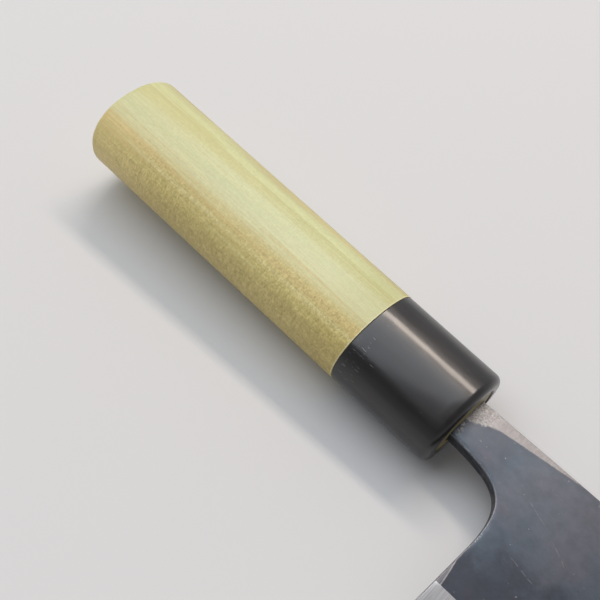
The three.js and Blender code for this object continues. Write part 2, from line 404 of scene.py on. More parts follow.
def crease(line_y, start_x, end_x, step):
    count = math.ceil((end_x - start_x) / step)
    places = [mix(start_x, end_x, i / count) for i in range(count + 1)]
    return [Vector((x, line_y(x))) for x in places]


def triangulated(outline, rounded, creases, near_step, far_step):
    """Triangles inside the outline, fine near the heel, with edges along the creases."""
    loose = rim_points(outline, rounded)
    loose += grid(-TANG_LENGTH, NECK_BACK, -NECK_DROP, SPINE_RISE, TANG_STEP)
    loose += grid(NECK_BACK, NEAR_REACH, EDGE_Y, SPINE_RISE, near_step)
    loose += grid(NEAR_REACH, TIP_X, EDGE_Y, SPINE_RISE, far_step)
    border = [*outline, outline[0]]
    clear = distances(loose, border) > 0.9 * RIM_OFFSETS[0]
    kept = inside(loose, outline) & clear
    for line in creases:
        kept &= distances(loose, line) > near_step / 4
    points = list(outline)
    edges = [(i, (i + 1) % len(outline)) for i in range(len(outline))]
    for line in creases:
        start = len(points)
        points += line
        edges += [(start + i, start + i + 1) for i in range(len(line) - 1)]
    points += [p for p, keep in zip(loose, kept) if keep]
    flat, _, triangles, *_ = delaunay_2d_cdt(points, edges, [], 1, 1e-6)
    return flat, triangles


UPPER, LOWER, WALL = range(3)


def ply(outline, rounded, creases, steps, low_at, high_at):
    """Closed layer of the blade between two height fields.

    low_at and high_at take x, y and the distance to the rounded edges. Gives points, faces, and for each
    face its kind: UPPER, LOWER or WALL.
    """
    flat, triangles = triangulated(outline, rounded, creases, *steps)
    away = distances(flat, outline[:rounded])
    points = [Vector((p.x, p.y, high_at(p.x, p.y, d))) for p, d in zip(flat, away)]
    points += [Vector((p.x, p.y, low_at(p.x, p.y, d))) for p, d in zip(flat, away)]
    under = len(flat)
    faces = []
    kinds = []
    sides = {}
    for a, b, c in triangles:
        faces += [(a, b, c), (under + a, under + c, under + b)]
        kinds += [UPPER, LOWER]
        for edge in ((a, b), (b, c), (c, a)):
            sides[edge] = True
    for a, b in sides:
        if (b, a) not in sides:
            faces.append((b, a, under + a, under + b))
            kinds.append(WALL)
    return points, faces, kinds


def eased(x, y, thickness, away):
    """How far a rounded edge drops at a distance from the outline."""
    by_hand = x < heel_x(y) + HAND_REACH and y < 0
    radius = min(CHOIL_EASE if by_hand else SPINE_EASE, EASE_SHARE * thickness)
    if away >= radius:
        return 0.0
    return radius - math.sqrt(radius**2 - (radius - away) ** 2)


def heel_chamfer(x, y):
    """Depth of the hand-ground chamfer that widens down the heel and stops at the bevel."""
    if x < HEEL_GAP or y > HEEL_CHAMFER_TOP or y < BEVEL_TOP_Y:
        return 0.0
    return HEEL_CHAMFER_SLOPE * max(0.0, heel_chamfer_x(y) - x)


def heel_chamfer_x(y):
    """Where the chamfer's ridge runs."""
    share = (HEEL_CHAMFER_TOP - y) / (HEEL_CHAMFER_TOP - BEVEL_TOP_Y)
    return heel_x(y) + HEEL_CHAMFER * max(0.0, share) ** HEEL_CHAMFER_POWER


def face_height(x, y, away, seed):
    """Half thickness of the finished blade: uneven flats, bevel, facet and broken edges."""
    if x < 0:
        height = min(tang_half(x, y), facet_half(x, y))
    else:
        wave = 0.7 * noise(x * 0.035, y * 0.045, seed) + 0.3 * noise(x * 0.1, y * 0.12, seed)
        calm = ramp_share(y, bevel_top_y(x), bevel_top_y(x) + FORGED_FADE)
        flat = flat_half(x, y) - FORGED_WAVE * (0.5 + 0.5 * wave) * calm
        height = min(flat, bevel_half(x, y), facet_half(x, y))
    height -= heel_chamfer(x, y)
    return height - eased(x, y, height - core_half(x), away)


# Objects


MOUNT_PLACE = (88.0, -12.0)  # x and y of the right face's mount in the blade frame


def frame_matrices():
    """Matrices of the knife frame and the blade frame in the row frame, in metres.

    The knife lies on its ferrule and on the front corner of the blade's left face. The record's mount on
    the right face says where that is.
    """
    pitch = Matrix.Rotation(BLADE_PITCH, 4, "Z")
    _, underside = handle_half(-FERRULE_ROUND)
    ferrule_rest = Vector((-FERRULE_ROUND, 0, -underside))
    low_y, high_y = BEVEL_TOP_Y + BELLY_RISE, SPINE_RISE - TIP_ROUND
    low = pitch @ Vector((TIP_X, low_y, -flat_half(TIP_X, low_y)))
    high = pitch @ Vector((TIP_X, high_y, -flat_half(TIP_X, high_y)))
    up = (low - ferrule_rest).cross(high - ferrule_rest).normalized()
    turn = up.rotation_difference(Vector((0, 0, 1))).to_matrix().to_4x4()
    mount_place = Vector((*MOUNT_PLACE, flat_half(*MOUNT_PLACE)))
    mount = next(m for m in frame["record"]["mounts"] if m["name"] == "right_face")
    shift = Vector(mount["pos_m"]) - turn @ pitch @ (mount_place * MM)
    knife = Matrix.Translation(shift) @ turn
    return knife, knife @ pitch


KNIFE, BLADE = frame_matrices()


def piece(name, points, faces, matrix, materials, slots=None):
    """Mesh object from points in millimetres in a frame, riding on the knife's one body.

    slots gives each face's place in the list of materials.
    """
    mesh = bpy.data.meshes.new(name)
    mesh.from_pydata([matrix @ (p * MM) for p in points], [], faces)
    for material in materials:
        mesh.materials.append(material)
    if slots is not None:
        mesh.polygons.foreach_set("material_index", slots)
    mesh.shade_smooth()
    mesh.set_sharp_from_angle(angle=SHARP_ANGLE)
    mesh.update()
    made = bpy.data.objects.new(name, mesh)
    bpy.context.scene.collection.objects.link(made)
    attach(made, "root")
    return made


# Materials


class Nodes:
    """One material's node tree, with a short call for each kind of node that is used here.

    matrix is the frame whose millimetres the patterns are laid out in.
    """

    def __init__(self, name, matrix=Matrix()):
        self.material = bpy.data.materials.new(name)
        self.material.use_nodes = True
        self.tree = self.material.node_tree
        self.tree.nodes.clear()
        self.shader = self.tree.nodes.new("ShaderNodeBsdfPrincipled")
        output = self.tree.nodes.new("ShaderNodeOutputMaterial")
        self.tree.links.new(self.shader.outputs["BSDF"], output.inputs["Surface"])
        self.coordinates = self.tree.nodes.new("ShaderNodeTexCoord")
        place = {
            "Vector": self.coordinates.outputs["Object"],
            "Location": matrix.translation,
            "Rotation": matrix.to_euler(),
            "Scale": (MM, MM, MM),
        }
        mapping = self.node("ShaderNodeMapping", place)
        mapping.vector_type = "TEXTURE"
        self.place = mapping.outputs[0]
        split = self.node("ShaderNodeSeparateXYZ", {0: self.place})
        self.x, self.y, self.z = split.outputs

    def node(self, kind, inputs):
        made = self.tree.nodes.new(kind)
        for key, value in inputs.items():
            self.give(made.inputs[key], value)
        return made

    def give(self, socket, value):
        if isinstance(value, bpy.types.NodeSocket):
            self.tree.links.new(value, socket)
        else:
            socket.default_value = value

    def set(self, **inputs):
        for name, value in inputs.items():
            self.give(self.shader.inputs[name.replace("_", " ")], value)

    def math(self, operation, a, b=0.0, c=0.0):
        made = self.node("ShaderNodeMath", {0: a, 1: b, 2: c})
        made.operation = operation
        return made.outputs[0]

    def stretched(self, x, y, z, shift=0.0):
        """The place in millimetres, with each direction scaled by its own factor."""
        made = self.node("ShaderNodeVectorMath", {0: self.place, 1: (x, y, z), 2: (shift, shift, shift)})
        made.operation = "MULTIPLY_ADD"
        return made.outputs[0]

    def noise(self, vector, detail=3.0, roughness=0.5, distortion=0.0):
        inputs = {
            "Vector": vector,
            "Scale": 1.0,
            "Detail": detail,
            "Roughness": roughness,
            "Distortion": distortion,
        }
        return self.node("ShaderNodeTexNoise", inputs).outputs["Fac"]

    def swayed(self, value, noise, amount):
        """Value moved by a noise about its middle of 0.5, by amount for a noise of 1."""
        return self.math("MULTIPLY_ADD", self.math("SUBTRACT", noise, 0.5), amount, value)

    def facing(self, axis):
        """How far the surface faces along an axis of the row frame, either way."""
        split = self.node("ShaderNodeSeparateXYZ", {0: self.coordinates.outputs["Normal"]})
        return self.math("ABSOLUTE", split.outputs[axis])

    def share(self, value, start, end, low=0.0, high=1.0):
        """low where value is at start, high where it is at end, smooth between them."""
        made = self.node("ShaderNodeMapRange", {0: value, 1: start, 2: end, 3: low, 4: high})
        made.interpolation_type = "SMOOTHSTEP"
        return made.outputs[0]

    def ramp(self, value, stops):
        made = self.node("ShaderNodeValToRGB", {0: value})
        elements = made.color_ramp.elements
        while len(elements) < len(stops):
            elements.new(0.5)
        for element, (position, colour) in zip(elements, stops):
            element.position = position
            element.color = (*colour, 1)
        return made.outputs[0]

    def mix(self, share, a, b, blend="MIX"):
        made = self.tree.nodes.new("ShaderNodeMix")
        made.data_type = "RGBA"
        made.blend_type = blend
        for index, value in ((0, share), (6, a), (7, b)):
            self.give(made.inputs[index], (*value, 1) if isinstance(value, tuple) else value)
        return made.outputs[2]

    def bump(self, height, depth):
        """Bump whose height of 1 stands for depth millimetres."""
        made = self.node("ShaderNodeBump", {"Height": height, "Distance": depth * MM})
        return made.outputs[0]


WOOD_BROWN = (0.53, 0.425, 0.16)
WOOD_OLIVE = (0.61, 0.51, 0.19)
WOOD_TAN = (0.59, 0.488, 0.193)
WOOD_PALE = (0.60, 0.588, 0.325)
WOOD_SILK = (0.535, 0.548, 0.294)
WOOD_LINE = (0.51, 0.494, 0.228)
WOOD_LIGHT = (0.57, 0.583, 0.305)
WOOD_HONEY = (0.47, 0.43, 0.205)
WOOD_BANDS = (  # across the rings, from the edge's side to the spine's
    (0.05, WOOD_BROWN),
    (0.15, WOOD_OLIVE),
    (0.245, WOOD_TAN),
    (0.37, WOOD_PALE),
    (0.42, WOOD_PALE),
    (0.50, WOOD_SILK),
    (0.58, WOOD_SILK),
    (0.625, WOOD_LINE),
    (0.66, WOOD_LINE),
    (0.675, WOOD_LIGHT),
    (0.73, WOOD_LIGHT),
    (0.86, WOOD_HONEY),
    (1.0, WOOD_BROWN),
)
BANDS_WIDTH = 30.0
WOOD_AMBER = (0.585, 0.46, 0.185)
WOOD_GOLD = (0.64, 0.56, 0.265)
SEAM_PAINTED_HIGHLIGHT = (0.72, 0.66, 0.39)  # painted highlight on the wood's broken edge at the seam
TENON_PAINTED_SHADE = (0.205, 0.18, 0.085)  # painted shade on the tenon's end, set back in the ferrule's mouth
WOOD_YELLOWED = (1.0, 0.975, 0.935)  # tint of the wood towards the butt
BUTT_PAINTED_LIGHT = (1.2, 1.21, 1.34)  # painted light on the lower side near the butt, a little bluer
WOOD_HANDLED = (0.91, 0.895, 0.84)  # tint of the wood close to the ferrule
WOOD_RELIEF = 0.05
END_GRAIN_DARK = (0.84, 0.74, 0.60)
END_GRAIN_LIGHT = (1.02, 0.94, 0.84)
FLECK_DARK = (0.76, 0.73, 0.66)
FLECK_LIGHT = (1.24, 1.27, 1.34)
FLECK_STRENGTH = 1.4
GRAIN_TILT = 0.028  # slope of the rings to the handle's axis
GRAIN_MIDDLE = -75.0  # where along the handle the tilted rings cross their mean place
GRAIN_LEAN = 0.12  # slope of the rings across the handle's thickness
GRAIN_DRIFT = 4.0  # slow waves of the rings
GRAIN_STREAK = 5.0  # and their ragged streaks
GRAIN_BEND = -2.5  # how far the rings next to the spine's side bend
BENDS_OVER = (-70.0, -95.0)  # the places along the handle between which they do
YELLOWS_OVER = (-55.0, -105.0)  # between which the wood yellows
PAINTED_LIGHT_OVER = (-86.0, -110.0)  # between which painted light grows on the lower side, towards the butt
FLECK_OVER = (-114.0, -94.0)  # between which the fleck comes up
HANDLED_OVER = (-46.0, -32.0)  # and between which the wood is darkened by the hand


def pale_wood():
    """Magnolia: nearly straight rings, fine fibres and a rippled fleck on the lower side."""
    n = Nodes("pale_wood", KNIFE)
    ring = wood_ring(n)
    fibre = n.noise(n.stretched(0.05, 2.6, 2.6, 11), detail=3, roughness=0.65)
    shade = wood_shade(n, ring, fibre)
    fleck = n.mix(n.math("MULTIPLY_ADD", shade, FLECK_STRENGTH, 0.5), FLECK_DARK, FLECK_LIGHT)
    colour = n.mix(1.0, wood_bands(n, ring), fleck, "MULTIPLY")
    n.set(
        Base_Color=wood_ends(n, ring, colour),
        Roughness=n.share(fibre, 0.3, 0.7, 0.40, 0.52),
        Normal=n.bump(shade, WOOD_RELIEF),
        IOR=1.5,
    )
    return n.material


def wood_ring(n):
    """Place across the rings: nearly y, but tilted, wavy and streaked along the grain."""
    drift = n.noise(n.stretched(0.011, 0.10, 0.10), detail=2)
    streak = n.noise(n.stretched(0.007, 0.8, 0.55, 5), detail=4, roughness=0.65)
    tilted = n.math("MULTIPLY_ADD", n.x, -GRAIN_TILT, GRAIN_TILT * GRAIN_MIDDLE)
    ring = n.math("ADD", tilted, n.math("MULTIPLY_ADD", n.z, GRAIN_LEAN, n.y))
    ring = n.swayed(ring, drift, GRAIN_DRIFT)
    ring = n.swayed(ring, streak, GRAIN_STREAK)
    bent = n.math("MULTIPLY", n.share(n.x, *BENDS_OVER), n.share(ring, 4.0, 8.0))
    return n.math("MULTIPLY_ADD", bent, GRAIN_BEND, ring)


def wood_bands(n, ring):
    """Colour of the rings, with amber and golden stripes along them."""
    bands = n.ramp(n.math("MULTIPLY_ADD", ring, 1 / BANDS_WIDTH, 0.5), WOOD_BANDS)
    stripe = n.noise(n.stretched(0.014, 0.75, 0.65, 47), detail=2, roughness=0.55)
    lower = n.share(ring, -1.0, -5.5, 0.12, 0.85)
    lower = n.math("MULTIPLY", lower, n.share(ring, -13.0, -8.0, 0.35, 1.0))
    striped = n.math("MAXIMUM", lower, n.share(ring, 7.5, 11.0, 0.0, 0.7))
    bands = n.mix(n.math("MULTIPLY", n.share(stripe, 0.48, 0.66), striped), bands, WOOD_AMBER)
    return n.mix(n.math("MULTIPLY", n.share(stripe, 0.46, 0.3), striped), bands, WOOD_GOLD)


def wood_shade(n, ring, fibre):
    """Light and dark about 0: fibres, and a fleck, strong on the lower side and weak at the butt."""
    patch = n.noise(n.stretched(0.035, 0.16, 0.16, 59), detail=2)
    grain = n.noise(n.stretched(2.1, 1.5, 1.5, 23), detail=2.5, roughness=0.65)
    flecked = n.share(ring, -5.0, -9.5, 0.4, 1.3)
    shade = n.swayed(0.0, grain, n.math("MULTIPLY", flecked, n.share(patch, 0.35, 0.6, 0.6, 1.1)))
    ripple = n.noise(n.stretched(1.5, 0.5, 0.5, 31), detail=2, roughness=0.55, distortion=0.4)
    shade = n.swayed(shade, ripple, n.share(ring, -7.5, -11.5, 0.0, 0.7))
    ticks = n.math("SUBTRACT", wood_ticks(n, 43), wood_ticks(n, 67))
    ticked = n.share(ring, -5.5, -9.0, 0.07, 0.22)
    ticked = n.math("MULTIPLY", ticked, n.share(patch, 0.3, 0.6, 0.5, 1.1))
    shade = n.math("MULTIPLY_ADD", ticks, ticked, shade)
    shade = n.math("MULTIPLY", shade, n.share(n.x, *FLECK_OVER, 0.45, 1.0))
    shade = n.swayed(shade, fibre, n.share(ring, 0.0, -6.0, 0.4, 0.55))
    fine = n.noise(n.stretched(0.4, 6.0, 6.0, 37), detail=2)
    return n.swayed(shade, fine, 0.4)


def wood_ticks(n, seed):
    """Short slanting ticks of the fleck: 1 on thin broken lines and 0 between them."""
    vein = n.noise(n.stretched(0.9, 0.75, 0.75, seed), detail=2, roughness=0.6, distortion=0.7)
    line = n.share(n.math("ABSOLUTE", n.math("SUBTRACT", vein, 0.5)), 0.07, 0.01)
    broken = n.noise(n.stretched(0.8, 0.8, 0.8, seed + 5), detail=1)
    return n.math("MULTIPLY", line, n.share(broken, 0.42, 0.58))


def wood_ends(n, ring, colour):
    """Colour along the handle and on cut ends: painted light at the butt, painted highlight at the seam,
    painted shade on the tenon.
    """
    colour = n.mix(n.share(n.x, *YELLOWS_OVER), colour, WOOD_YELLOWED, "MULTIPLY")
    # painted light: lighter and a little bluer on the lower side near the butt, fading out at the end
    # face
    plain = n.math("MULTIPLY", n.share(n.x, *PAINTED_LIGHT_OVER), n.share(ring, -4.0, -9.0))
    plain = n.math("MULTIPLY", plain, n.share(n.x, -HANDLE_LENGTH + 0.3, -HANDLE_LENGTH + 3.0))
    colour = n.mix(plain, colour, BUTT_PAINTED_LIGHT, "MULTIPLY")
    colour = n.mix(n.share(n.x, *HANDLED_OVER), colour, WOOD_HANDLED, "MULTIPLY")
    # painted highlight on the wood's broken edge at the seam, which faces away from the lamps
    seam = n.share(n.x, -FERRULE_LENGTH - 0.5, -FERRULE_LENGTH - 0.15, 0.0, 0.6)
    colour = n.mix(seam, colour, SEAM_PAINTED_HIGHLIGHT)
    # painted shade on the tenon's end, deep in the ferrule's mouth
    colour = n.mix(n.share(n.x, -1.5, -0.6, 0.0, 0.8), colour, TENON_PAINTED_SHADE)
    pores = n.noise(n.stretched(0.3, 3.4, 3.4, 91), detail=3, roughness=0.7)
    cut = n.mix(n.share(pores, 0.35, 0.65), END_GRAIN_DARK, END_GRAIN_LIGHT)
    cut = n.mix(1.0, colour, cut, "MULTIPLY")
    return n.mix(n.share(n.facing(0), 0.65, 0.97), colour, cut)


CHAR_BLACK = (0.012, 0.009, 0.007)
CHAR_BROWN = (0.06, 0.04, 0.022)


def charred_wood():
    """The slot's walls, burnt by the hot tang."""
    n = Nodes("charred_wood", KNIFE)
    grain = n.noise(n.stretched(0.2, 2.0, 2.0), detail=4)
    n.set(
        Base_Color=n.ramp(grain, ((0.3, CHAR_BLACK), (0.75, CHAR_BROWN))),
        Roughness=0.85,
        Normal=n.bump(grain, 0.15),
    )
    return n.material


HORN_BLACK = (0.0035, 0.0035, 0.004)
HORN_BROWN = (0.016, 0.012, 0.010)
HORN_SCRATCH = (0.25, 0.25, 0.26)


def black_horn():
    """Polished horn: near black, with faint brown streaks, a wavering polish and small scratches."""
    n = Nodes("black_horn", KNIFE)
    cloud = n.noise(n.stretched(0.03, 0.22, 0.22), detail=4, roughness=0.6)
    colour = n.ramp(cloud, ((0.35, HORN_BLACK), (0.8, HORN_BROWN)))
    scratch = n.noise(n.stretched(0.5, 6.0, 6.0, 3), detail=1.5, roughness=0.6, distortion=0.25)
    near_seam = n.math("MULTIPLY", n.share(n.x, -18, -26), n.share(n.y, -3.0, -8.0))
    where = n.math("MULTIPLY_ADD", near_seam, 0.09, scratch)
    marks = n.share(where, 0.765, 0.82, 0.0, 0.8)
    n.set(
        Base_Color=n.mix(marks, colour, HORN_SCRATCH),
        Roughness=n.share(n.noise(n.stretched(0.15, 0.6, 0.6, 9), detail=3), 0.3, 0.7, 0.29, 0.37),
        Normal=n.bump(n.noise(n.stretched(0.09, 0.16, 0.16, 15), detail=1), 0.12),
        IOR=1.46,
        Coat_Weight=0.45,
        Coat_Roughness=0.12,
        Coat_IOR=1.5,
    )
    return n.material


SCALE_BLUE = (0.065, 0.078, 0.096)
SCALE_WARM = (0.079, 0.085, 0.102)
# dark scale, which is also the painted shade towards the bevel
SCALE_DARK_AND_SHADE = (0.038, 0.041, 0.051)
SCALE_TEAL = (0.96, 1.01, 1.02)
SCALE_PLUM = (1.03, 0.99, 1.0)
SCALE_RELIEF = 0.012
GROUND_STEEL = (0.302, 0.288, 0.286)
GROUND_DULL = (0.232, 0.221, 0.219)
# whitish ground iron, raised to painted light close to the ferrule
GROUND_WHITE_AND_PAINTED_LIGHT = (0.43, 0.428, 0.422)
GROUND_PIT = (0.11, 0.107, 0.105)
HAIRLINES = (
    ((21.4, -5.2), (26.9, -7.3)),
    ((25.2, -17.8), (32.6, -19.2)),
    ((30.2, -8.9), (35.6, -11.9)),
    ((33.0, -24.2), (39.6, -25.1)),
    ((52.0, -8.0), (57.0, -19.0)),
    ((71.0, -21.5), (83.0, -24.0)),
    ((103.0, -3.0), (106.5, -13.0)),
    ((128.0, -17.0), (141.0, -14.5)),
)


def forge_scale():
    """Black scale from the forge on the flats, ground bright beside the spine near the ferrule."""
    n = Nodes("forge_scale", BLADE)
    blotch = n.noise(n.stretched(0.13, 0.16, 0.4, 7), detail=4, roughness=0.6)
    grit = n.noise(n.stretched(2.2, 2.2, 2.2, 13), detail=3, roughness=0.7)
    speck = n.noise(n.stretched(1.3, 1.3, 1.3, 29), detail=1)
    bare = bare_mask(n, grit, speck)
    rough = n.share(grit, 0.3, 0.7, 0.34, 0.44)
    n.set(
        Base_Color=n.mix(bare, scale_colour(n, blotch, speck), bare_iron(n)),
        Metallic=n.share(bare, 0.0, 1.0, 0.9, 1.0),
        Roughness=n.math("MULTIPLY_ADD", bare, 0.16, rough),
        Normal=n.bump(n.math("MULTIPLY_ADD", blotch, 1.2, grit), SCALE_RELIEF),
    )
    return n.material


def scale_colour(n, blotch, speck):
    """Colour of the scale, warmer towards the spine, with painted shade towards the bevel, and darker on
    the neck.
    """
    broad = n.noise(n.stretched(0.045, 0.06, 0.3), detail=3, roughness=0.55, distortion=0.3)
    warm = n.math("MULTIPLY_ADD", n.y, 0.014, n.math("ADD", broad, 0.05))
    colour = n.mix(n.share(warm, 0.40, 0.60), SCALE_BLUE, SCALE_WARM)
    # painted shade: darker towards the bevel, in place of the edge of the lamp's reflection
    low = n.swayed(n.y, blotch, 26.0)
    colour = n.mix(n.share(low, -13.0, -27.0, 0.0, 0.8), colour, SCALE_DARK_AND_SHADE)
    cloud = n.noise(n.stretched(0.33, 0.38, 0.38, 41), detail=5, roughness=0.65)
    colour = n.mix(1.0, colour, n.share(cloud, 0.25, 0.75, 0.9, 1.1), "MULTIPLY")
    # darker on the neck, between the ferrule and the heel
    neck_darker = n.math("MULTIPLY", n.share(n.x, 2.5, 5.5), n.share(n.x, 16.0, 9.0, 0.0, 0.3))
    colour = n.mix(neck_darker, colour, SCALE_DARK_AND_SHADE)
    tint = n.noise(n.stretched(0.1, 0.12, 0.12, 53), detail=4, roughness=0.6)
    tint = n.ramp(tint, ((0.35, SCALE_TEAL), (0.65, SCALE_PLUM)))
    colour = n.mix(1.0, colour, tint, "MULTIPLY")
    return n.mix(n.share(speck, 0.25, 0.20, 0.0, 0.5), colour, SCALE_DARK_AND_SHADE)


def bare_mask(n, grit, speck):
    """1 where the scale is gone: specks, hairlines, worn rims, the heel's chamfer and the facet."""
    bare = n.math("MULTIPLY", n.share(speck, 0.755, 0.80), 0.55)
    waver = n.noise(n.stretched(0.4, 0.4, 0.4, 83), detail=2)
    broken = n.share(n.noise(n.stretched(1.1, 1.1, 1.1, 97), detail=2), 0.36, 0.56)
    for start, end in HAIRLINES:
        bare = n.math("MAXIMUM", bare, hairline(n, start, end, waver, broken))
    handled = n.math("MAXIMUM", n.share(n.y, -7.0, -13.0, 0.4, 1.0), n.share(n.y, 0.0, 3.0))
    rim = n.math("MULTIPLY", n.share(n.facing(2), 0.992, 0.965), handled)
    worn = n.math("MULTIPLY", n.math("MAXIMUM", rim, chamfer_rim(n)), n.share(grit, 0.30, 0.50))
    return n.math("MAXIMUM", n.math("MAXIMUM", bare, worn), facet_mask(n))


def bare_iron(n):
    """Colour of ground iron with the strokes of the stone, whitish with painted light and pitted close
    to the ferrule.
    """
    near = n.share(n.x, 8.0, 2.5)
    strokes = n.noise(n.stretched(3.2, 0.5, 0.5, 77), detail=3, roughness=0.6)
    whitish = n.noise(n.stretched(2.0, 2.0, 2.0, 87), detail=3, roughness=0.65)
    pitted = n.noise(n.stretched(2.2, 2.2, 2.2, 61), detail=2)
    iron = n.mix(n.share(strokes, 0.3, 0.75), GROUND_STEEL, GROUND_DULL)
    # whitish mottles close to the ferrule, made brighter as painted light against the ferrule's shade
    iron = n.mix(n.math("MULTIPLY", near, n.share(whitish, 0.45, 0.62, 0.0, 0.85)), iron, GROUND_WHITE_AND_PAINTED_LIGHT)
    return n.mix(n.math("MULTIPLY", near, n.share(pitted, 0.62, 0.70, 0.0, 0.7)), iron, GROUND_PIT)


def chamfer_rim(n):
    """1 along the ridge of the heel's chamfer, and a little on the chamfer itself."""
    length = HEEL_CHAMFER_TOP - BEVEL_TOP_Y
    share = n.math("MULTIPLY_ADD", n.y, -1 / length, HEEL_CHAMFER_TOP / length)
    share = n.math("MAXIMUM", share, 0.0)
    width = n.math("MULTIPLY", n.math("POWER", share, HEEL_CHAMFER_POWER), HEEL_CHAMFER)
    heel = n.math("MULTIPLY_ADD", n.y, HEEL_LEAN, HEEL_GAP - HEEL_LEAN * EDGE_Y)
    aside = n.math("SUBTRACT", n.math("SUBTRACT", n.x, heel), width)
    ridge = n.share(n.math("ABSOLUTE", aside), 0.22, 0.05)
    ground = n.share(aside, 0.1, -0.1, 0.0, 0.25)
    start = n.share(n.y, HEEL_CHAMFER_TOP + 0.3, HEEL_CHAMFER_TOP - 0.7)
    return n.math("MULTIPLY", n.math("MAXIMUM", ridge, ground), start)


def hairline(n, start, end, waver, broken):
    """Faint broken scratch along a wavering line on the right face."""
    across = (end[0] - start[0], end[1] - start[1])
    length = math.hypot(*across)
    run = across[0] / length, across[1] / length
    x = n.math("SUBTRACT", n.x, start[0])
    y = n.math("SUBTRACT", n.y, start[1])
    along = n.math("MULTIPLY_ADD", x, run[0], n.math("MULTIPLY", y, run[1]))
    aside = n.math("MULTIPLY_ADD", x, -run[1], n.math("MULTIPLY", y, run[0]))
    aside = n.swayed(aside, waver, 0.9)
    line = n.share(n.math("ABSOLUTE", aside), 0.14, 0.02, 0.0, 0.3)
    middle = n.math("ABSOLUTE", n.math("SUBTRACT", along, length / 2))
    line = n.math("MULTIPLY", line, n.share(middle, length * 0.55, length * 0.3))
    line = n.math("MULTIPLY", line, n.share(n.z, 0.0, 0.4))
    return n.math("MULTIPLY", line, broken)


def facet_mask(n):
    """1 on the facet beside the spine, with a soft edge and a flare where it meets the ferrule."""
    line = n.math("MULTIPLY_ADD", n.x, FACET_HEIGHT / FACET_LENGTH, SPINE_RISE - FACET_HEIGHT)
    flare = n.math("MULTIPLY_ADD", n.x, 0.6, -0.6)
    ragged = n.noise(n.stretched(0.8, 0.8, 0.8, 71), detail=4, roughness=0.7)
    above = n.math("SUBTRACT", n.y, n.math("SMOOTH_MIN", line, flare, 1.6))
    wander = n.share(n.x, 3.0, 8.0, 3.0, 0.5)
    above = n.swayed(above, ragged, wander)
    facet = n.share(above, n.share(n.x, 3.0, 8.0, -0.7, -0.15), n.share(n.x, 3.0, 8.0, 0.6, 0.25))
    fringe = n.math("MULTIPLY", n.share(n.x, 1.8, 0.3), n.share(n.y, -6.0, -4.0))
    fringe = n.math("MULTIPLY", fringe, n.share(ragged, 0.50, 0.62, 0.0, 0.7))
    return n.math("MAXIMUM", facet, fringe)


BEVEL_STEEL = (0.37, 0.37, 0.375)
EDGE_STEEL = (0.46, 0.46, 0.465)
STROKE_SHADE = 0.62  # darkness of the scratches in the ground steels
WALL_LIGHT = (0.24, 0.235, 0.23)
WALL_DARK = (0.14, 0.137, 0.134)


def ground_steel(name, colour, roughness, lines_x, lines_y, depth):
    """Steel ground on a stone, with scratches that run along the direction with the smaller scale."""
    n = Nodes(name, BLADE)
    lines = n.noise(n.stretched(lines_x, lines_y, lines_y), detail=4, roughness=0.7)
    haze = n.noise(n.stretched(0.06, 0.12, 0.12, 19), detail=3)
    darker = tuple(c * STROKE_SHADE for c in colour)
    n.set(
        Base_Color=n.mix(n.share(lines, 0.3, 0.72), colour, darker),
        Metallic=1.0,
        Roughness=n.share(haze, 0.3, 0.7, roughness, roughness + 0.12),
        Normal=n.bump(lines, depth),
    )
    return n.material


def scale_wall():
    """Edges of the blade all round: roughly ground, with scale left in the hollows."""
    n = Nodes("scale_wall", BLADE)
    lines = n.noise(n.stretched(0.4, 0.4, 5.0), detail=4, roughness=0.7)
    blotch = n.noise(n.stretched(0.25, 0.25, 0.5, 5), detail=4, roughness=0.65)
    steel = n.mix(n.share(lines, 0.3, 0.7), WALL_LIGHT, WALL_DARK)
    spine = n.share(n.y, SPINE_RISE - 2, SPINE_RISE - 0.5)
    scaled = n.math("MULTIPLY_ADD", spine, -0.4, n.share(blotch, 0.3, 0.7, 0.65, 1.0))
    n.set(
        Base_Color=n.mix(scaled, steel, SCALE_DARK_AND_SHADE),
        Metallic=0.95,
        Roughness=n.share(blotch, 0.4, 0.65, 0.36, 0.52),
        Normal=n.bump(lines, 0.02),
    )
    return n.material


# Pieces


def make_grip(wood, charred):
    """Wooden grip from its butt over the shoulder and tenon into the slot."""
    shoulder = -FERRULE_LENGTH
    front = -TENON_RECESS
    rings = butt_rings()
    rings += quarter_round(-HANDLE_LENGTH + BUTT_DOME, BUTT_ROUND, 1)
    rings += straight_rings(-HANDLE_LENGTH + BUTT_DOME + BUTT_ROUND, shoulder - SEAM_ROUND)
    rings += reversed(quarter_round(shoulder, SEAM_ROUND, -1))
    rings += [tenon_ring(shoulder), tenon_ring(front - SEAM_ROUND), tenon_ring(front, -SEAM_ROUND)]
    mouth = len(rings)
    rings.append(slot_ring(front + TENON_CROWN))
    rings += [slot_ring(-TANG_LENGTH * share) for share in SLOT_SHARES]
    rings.append(slot_ring(-TANG_LENGTH - TANG_END_GAP))
    end = rings[-1]
    rings.append([sum(end, Vector()) / len(end)])
    points, faces, spans = skin(rings)
    wood_index, charred_index = range(2)
    slots = [charred_index if span >= mouth else wood_index for span in spans]
    grip = piece("wooden_grip", points, faces, KNIFE, [wood, charred], slots)
    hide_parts("grip")


def make_ferrule(horn):
    """Horn ferrule: outside from the seam to its rounded front, then back through the bore."""
    back = -FERRULE_LENGTH + GLUE_LINE
    rings = quarter_round(back, SEAM_ROUND, 1, HORN_SHRINK)
    rings += straight_rings(back + SEAM_ROUND, -FERRULE_ROUND, HORN_SHRINK)
    rings += reversed(quarter_round(0, FERRULE_ROUND, -1, HORN_SHRINK))
    rings += [tenon_ring(0, GLUE_LINE + BORE_ROUND), tenon_ring(-BORE_ROUND, GLUE_LINE)]
    rings += [tenon_ring(back, GLUE_LINE)]
    points, faces, _ = skin(rings, bored=True)
    ferrule = piece("horn_ferrule", points, faces, KNIFE, [horn])
    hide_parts("ferrule")


